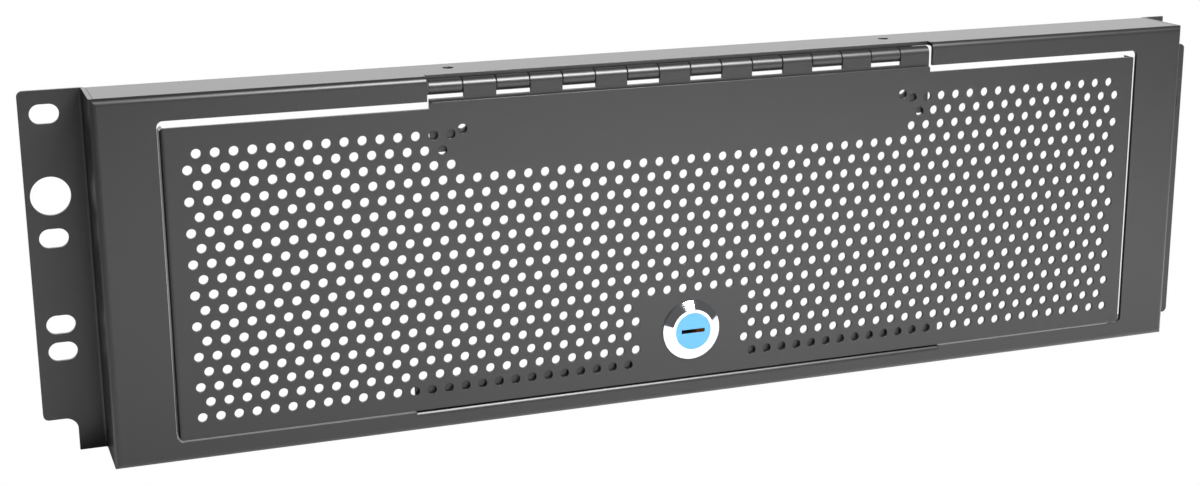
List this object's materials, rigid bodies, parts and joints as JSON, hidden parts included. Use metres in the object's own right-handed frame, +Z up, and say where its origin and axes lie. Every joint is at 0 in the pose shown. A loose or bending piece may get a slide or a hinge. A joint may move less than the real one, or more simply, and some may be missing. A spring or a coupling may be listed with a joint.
{
  "type": "perforated rack security panel",
  "caption": "Three-unit rack panel: folded steel frame with rack ears and a perforated door that swings up on a piano hinge and shuts with a cam lock.",
  "frame": {"origin": "Centre of the frame's underside: middle of the panel's width and of its depth from the face to the back of the ears, at the level of the lower edge.", "axes": "+X runs along the panel to its right-hand end as seen from the front, +Y runs from the face to the back of the ears, +Z is up."},
  "size_m": [0.4826, 0.0304, 0.1325],
  "materials": {
    "powder_coat": "satin black powder coat on steel sheet",
    "plain_steel": "zinc plated",
    "lock_chrome": "polished chrome plate",
    "lock_brass": "machined brass",
    "blue_plastic": "satin moulded plastic"
  },
  "bodies": {
    "frame_body": {"frame": "powder_coat", "hinge_frame_leaf": "powder_coat", "hinge_pin": "plain_steel"},
    "door_body": {"door": "powder_coat", "hinge_door_leaf": "powder_coat", "lock_housing": "lock_chrome", "lock_washer": "plain_steel", "lock_nut": "plain_steel"},
    "lock_body": {"lock_plug": "lock_brass", "lock_face": "blue_plastic", "lock_wafers": "lock_brass", "stop_washer": "plain_steel", "cam": "plain_steel", "cam_spring_washer": "plain_steel", "cam_screw": "plain_steel"}
  },
  "joints": [
    {"name": "door_hinge", "type": "hinge", "parent": "frame_body", "child": "door_body", "pos_m": [0, -0.01, 0.1282], "axis": [-1, 0, 0], "range_deg": [0, 110]},
    {"name": "cam_turn", "type": "hinge", "parent": "door_body", "child": "lock_body", "pos_m": [0, 0, 0.02695], "axis": [0, 1, 0], "range_deg": [0, 90]}
  ]
}
